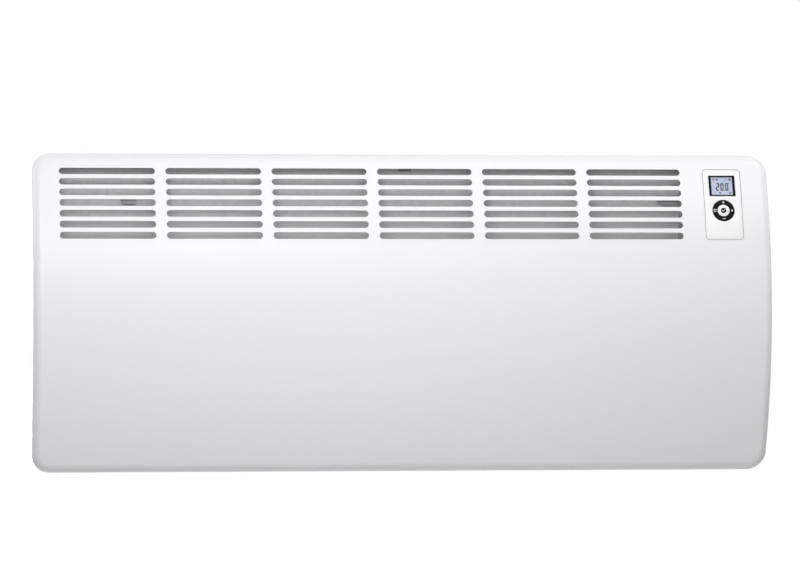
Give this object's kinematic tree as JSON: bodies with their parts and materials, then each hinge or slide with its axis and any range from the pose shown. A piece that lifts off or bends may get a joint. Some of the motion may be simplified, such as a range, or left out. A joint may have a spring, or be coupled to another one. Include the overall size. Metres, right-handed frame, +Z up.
{
  "type": "wall panel convector heater",
  "caption": "Wide wall-hung convector heater with a bulged white front, slotted warm-air outlet, display and round key pad, on its hook-on wall bracket.",
  "frame": {"origin": "centre of the four wall-screw holes, on the wall's face", "axes": "+X to the right of someone facing the heater, +Y into the wall, +Z up"},
  "size_m": [1.05, 0.135, 0.45],
  "materials": {
    "white_enamel": "white powder coat, satin",
    "galvanised": "galvanised sheet steel",
    "bare_aluminium": "extruded aluminium",
    "steel": "zinc-plated steel",
    "ceramic_white": "steatite",
    "white_plastic": "white moulded plastic",
    "black_plastic": "black moulded plastic",
    "dark_plastic": "dark grey moulded plastic",
    "grey_plastic": "grey moulded plastic",
    "display_glass": "clear display window",
    "lcd": "backlit display module",
    "board_green": "circuit board",
    "rubber": "soft black rubber",
    "lead_sleeve": "silicone-sleeved leads"
  },
  "bodies": {
    "wall_bracket": {"bracket_strut_left": "galvanised", "bracket_strut_right": "galvanised", "bracket_top_rail": "galvanised", "bracket_bottom_rail": "galvanised", "bracket_rivets": "steel"},
    "heater": {"front_cover": "white_enamel", "cover_clips": "steel", "cover_screws": "steel", "rear_tray": "white_enamel", "wall_bumpers": "rubber", "heat_shield": "galvanised", "air_deflector": "galvanised", "front_baffle": "galvanised", "duct_end_left": "galvanised", "duct_end_right": "galvanised", "element_profile_lower": "bare_aluminium", "element_profile_upper": "bare_aluminium", "heating_rod_lower": "steel", "heating_rod_upper": "steel", "element_insulators": "ceramic_white", "element_bracket_left": "galvanised", "element_bracket_right": "galvanised", "element_screws": "steel", "cutout_bracket": "galvanised", "thermal_cutout": "steel", "sensor_clip": "white_plastic", "room_sensor": "dark_plastic", "latch_bushes": "grey_plastic", "control_fascia": "white_plastic", "display_lens": "display_glass", "display_bezel": "black_plastic", "control_housing": "white_plastic", "display_board": "board_green", "lcd_module": "lcd", "key_switches": "dark_plastic", "power_board": "board_green", "board_standoffs": "grey_plastic", "relay": "dark_plastic", "transformer": "dark_plastic", "capacitor": "dark_plastic", "heat_sink": "bare_aluminium", "terminal_block": "grey_plastic", "cable_gland": "dark_plastic", "gland_nut": "dark_plastic", "mains_switch_body": "dark_plastic", "internal_leads": "lead_sleeve"},
    "key_plus": {"key_plus": "black_plastic"},
    "key_minus": {"key_minus": "black_plastic"},
    "key_menu": {"key_menu": "black_plastic"},
    "key_back": {"key_back": "black_plastic"},
    "key_ok": {"key_ok": "white_plastic"},
    "switch_rocker": {"switch_rocker": "dark_plastic"},
    "latch_left": {"latch_left": "grey_plastic"},
    "latch_right": {"latch_right": "grey_plastic"}
  },
  "joints": [
    {"name": "lift_off", "type": "slide", "parent": "wall_bracket", "child": "heater", "axis": [0, 0, 1], "range_m": [0, 0.016]},
    {"name": "key_plus_press", "type": "slide", "parent": "heater", "child": "key_plus", "axis": [0, 0.9529, -0.3034], "range_m": [0, 0.0008], "stiffness_N_per_m": 1500},
    {"name": "key_minus_press", "type": "slide", "parent": "heater", "child": "key_minus", "axis": [0, 0.9529, -0.3034], "range_m": [0, 0.0008], "stiffness_N_per_m": 1500},
    {"name": "key_menu_press", "type": "slide", "parent": "heater", "child": "key_menu", "axis": [0, 0.9529, -0.3034], "range_m": [0, 0.0008], "stiffness_N_per_m": 1500},
    {"name": "key_back_press", "type": "slide", "parent": "heater", "child": "key_back", "axis": [0, 0.9529, -0.3034], "range_m": [0, 0.0008], "stiffness_N_per_m": 1500},
    {"name": "key_ok_press", "type": "slide", "parent": "heater", "child": "key_ok", "axis": [0, 0.9529, -0.3034], "range_m": [0, 0.0008], "stiffness_N_per_m": 1500},
    {"name": "mains_rocker", "type": "hinge", "parent": "heater", "child": "switch_rocker", "pos_m": [0.418, -0.0337, -0.2205], "axis": [0, 1, 0], "range_deg": [-14, 0]},
    {"name": "latch_left_turn", "type": "hinge", "parent": "heater", "child": "latch_left", "pos_m": [-0.2, -0.02, -0.167], "axis": [0, 1, 0], "range_deg": [-90, 0]},
    {"name": "latch_right_turn", "type": "hinge", "parent": "heater", "child": "latch_right", "pos_m": [0.2, -0.02, -0.167], "axis": [0, 1, 0], "range_deg": [0, 90]}
  ]
}
